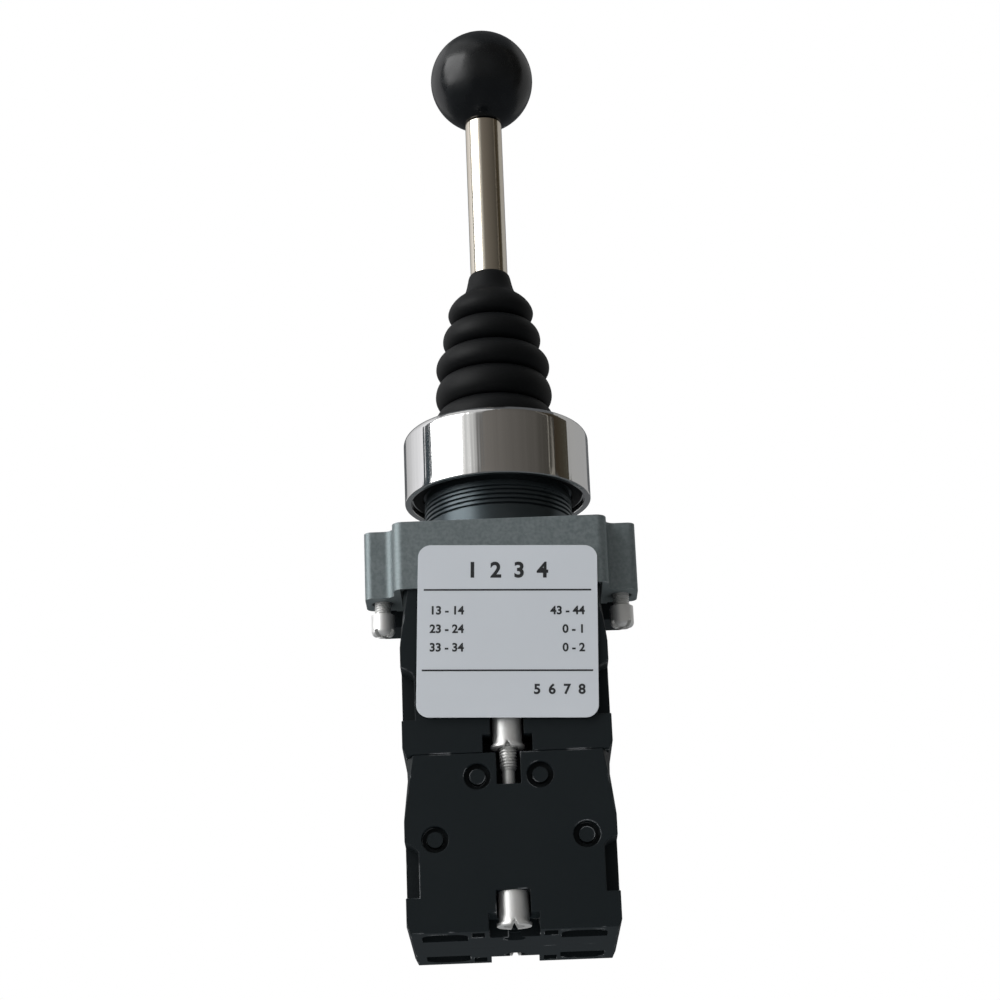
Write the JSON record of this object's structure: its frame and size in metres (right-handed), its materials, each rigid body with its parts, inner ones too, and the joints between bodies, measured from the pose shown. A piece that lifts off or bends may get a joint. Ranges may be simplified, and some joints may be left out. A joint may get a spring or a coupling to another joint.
{
  "type": "industrial joystick",
  "caption": "Four-way panel joystick: ball knob on a sprung lever in a rubber bellows, round bezel, threaded barrel, clamping collar and stacked screw-terminal contact blocks.",
  "frame": {"origin": "lever axis at the underside of the bezel, which is the front face of the panel it is mounted in", "axes": "+Z along the lever at rest, from the contact blocks to the knob; -Y the side with the label plate and the clamp screws; +X to the right as seen from there"},
  "size_m": [0.0536, 0.0394, 0.1982],
  "materials": {
    "knob_plastic": "semi-gloss moulded",
    "chrome": "bright plated",
    "rubber": "matt",
    "bare_steel": "bare steel",
    "zinc": "die-cast zinc, satin, passivated",
    "dark_zinc": "die-cast zinc, darkened, thread machined",
    "label": "bare label plate",
    "black_plastic": "fine textured moulding",
    "white_plastic": "natural acetal",
    "brass": "bare brass strip",
    "nickel": "nickel-plated steel"
  },
  "bodies": {
    "root": {"pivot_pins": "bare_steel", "bellows": "rubber", "bezel_ring": "chrome", "panel_gasket": "rubber", "threaded_barrel": "dark_zinc", "rod_guide": "brass", "mounting_collar": "zinc", "lower_guide": "black_plastic", "clamp_screws": "nickel", "label_plate": "label", "front_rod_spring": "bare_steel", "back_rod_spring": "bare_steel", "left_rod_spring": "bare_steel", "right_rod_spring": "bare_steel", "front_upper_housing": "black_plastic", "back_upper_housing": "black_plastic", "front_lower_housing": "black_plastic", "back_lower_housing": "black_plastic", "front_upper_cover": "black_plastic", "back_upper_cover": "black_plastic", "front_lower_cover": "black_plastic", "back_lower_cover": "black_plastic", "front_upper_spring": "bare_steel", "back_upper_spring": "bare_steel", "front_lower_spring": "bare_steel", "back_lower_spring": "bare_steel", "front_upper_terminals": "brass", "back_upper_terminals": "brass", "front_lower_terminals": "brass", "back_lower_terminals": "brass", "front_upper_clamps": "nickel", "back_upper_clamps": "nickel", "front_lower_clamps": "nickel", "back_lower_clamps": "nickel", "front_upper_screw": "nickel", "back_upper_screw": "nickel", "front_lower_screw": "nickel", "back_lower_screw": "nickel"},
    "gimbal": {"gimbal_ring": "bare_steel", "cross_pin": "bare_steel"},
    "lever": {"ball_knob": "knob_plastic", "lever_rod": "chrome", "lever_hub": "bare_steel"},
    "front_push": {"front_rod": "bare_steel"},
    "back_push": {"back_rod": "bare_steel"},
    "left_push": {"left_rod": "bare_steel"},
    "right_push": {"right_rod": "bare_steel"},
    "front_upper_switch": {"front_upper_plunger": "white_plastic", "front_upper_bridge": "brass"},
    "back_upper_switch": {"back_upper_plunger": "white_plastic", "back_upper_bridge": "brass"},
    "front_lower_switch": {"front_lower_plunger": "white_plastic", "front_lower_bridge": "brass"},
    "back_lower_switch": {"back_lower_plunger": "white_plastic", "back_lower_bridge": "brass"}
  },
  "joints": [
    {"name": "tilt_fb", "type": "hinge", "parent": "root", "child": "gimbal", "pos_m": [0, 0, 0.009], "axis": [1, 0, 0], "range_deg": [-15, 15], "stiffness_Nm_per_rad": 1.5, "deforming": ["bellows"]},
    {"name": "tilt_lr", "type": "hinge", "parent": "gimbal", "child": "lever", "pos_m": [0, 0, 0.009], "axis": [0, 1, 0], "range_deg": [-15, 15], "stiffness_Nm_per_rad": 1.5, "deforming": ["bellows"]},
    {"name": "front_rod_slide", "type": "slide", "parent": "root", "child": "front_push", "axis": [0, 0, 1], "range_m": [-0.0027, 0.0027], "deforming": ["front_rod_spring"]},
    {"name": "back_rod_slide", "type": "slide", "parent": "root", "child": "back_push", "axis": [0, 0, 1], "range_m": [-0.0027, 0.0027], "deforming": ["back_rod_spring"]},
    {"name": "left_rod_slide", "type": "slide", "parent": "root", "child": "left_push", "axis": [0, 0, 1], "range_m": [-0.0027, 0.0027], "deforming": ["left_rod_spring"]},
    {"name": "right_rod_slide", "type": "slide", "parent": "root", "child": "right_push", "axis": [0, 0, 1], "range_m": [-0.0027, 0.0027], "deforming": ["right_rod_spring"]},
    {"name": "front_upper_slide", "type": "slide", "parent": "root", "child": "front_upper_switch", "axis": [0, 0, 1], "range_m": [-0.0027, 0.0027], "deforming": ["front_upper_spring"]},
    {"name": "back_upper_slide", "type": "slide", "parent": "root", "child": "back_upper_switch", "axis": [0, 0, 1], "range_m": [-0.0027, 0.0027], "deforming": ["back_upper_spring"]},
    {"name": "front_lower_slide", "type": "slide", "parent": "root", "child": "front_lower_switch", "axis": [0, 0, 1], "range_m": [-0.0027, 0.0027], "deforming": ["front_lower_spring"]},
    {"name": "back_lower_slide", "type": "slide", "parent": "root", "child": "back_lower_switch", "axis": [0, 0, 1], "range_m": [-0.0027, 0.0027], "deforming": ["back_lower_spring"]}
  ],
  "couplings": [
    {"joint": "front_rod_slide", "follows": "tilt_fb", "m_per_rad": -0.01},
    {"joint": "back_rod_slide", "follows": "tilt_fb", "m_per_rad": 0.01},
    {"joint": "left_rod_slide", "follows": "tilt_lr", "m_per_rad": 0.01},
    {"joint": "right_rod_slide", "follows": "tilt_lr", "m_per_rad": -0.01},
    {"joint": "front_upper_slide", "follows": "tilt_fb", "m_per_rad": -0.01},
    {"joint": "back_upper_slide", "follows": "tilt_fb", "m_per_rad": 0.01},
    {"joint": "front_lower_slide", "follows": "tilt_lr", "m_per_rad": 0.01},
    {"joint": "back_lower_slide", "follows": "tilt_lr", "m_per_rad": -0.01}
  ]
}
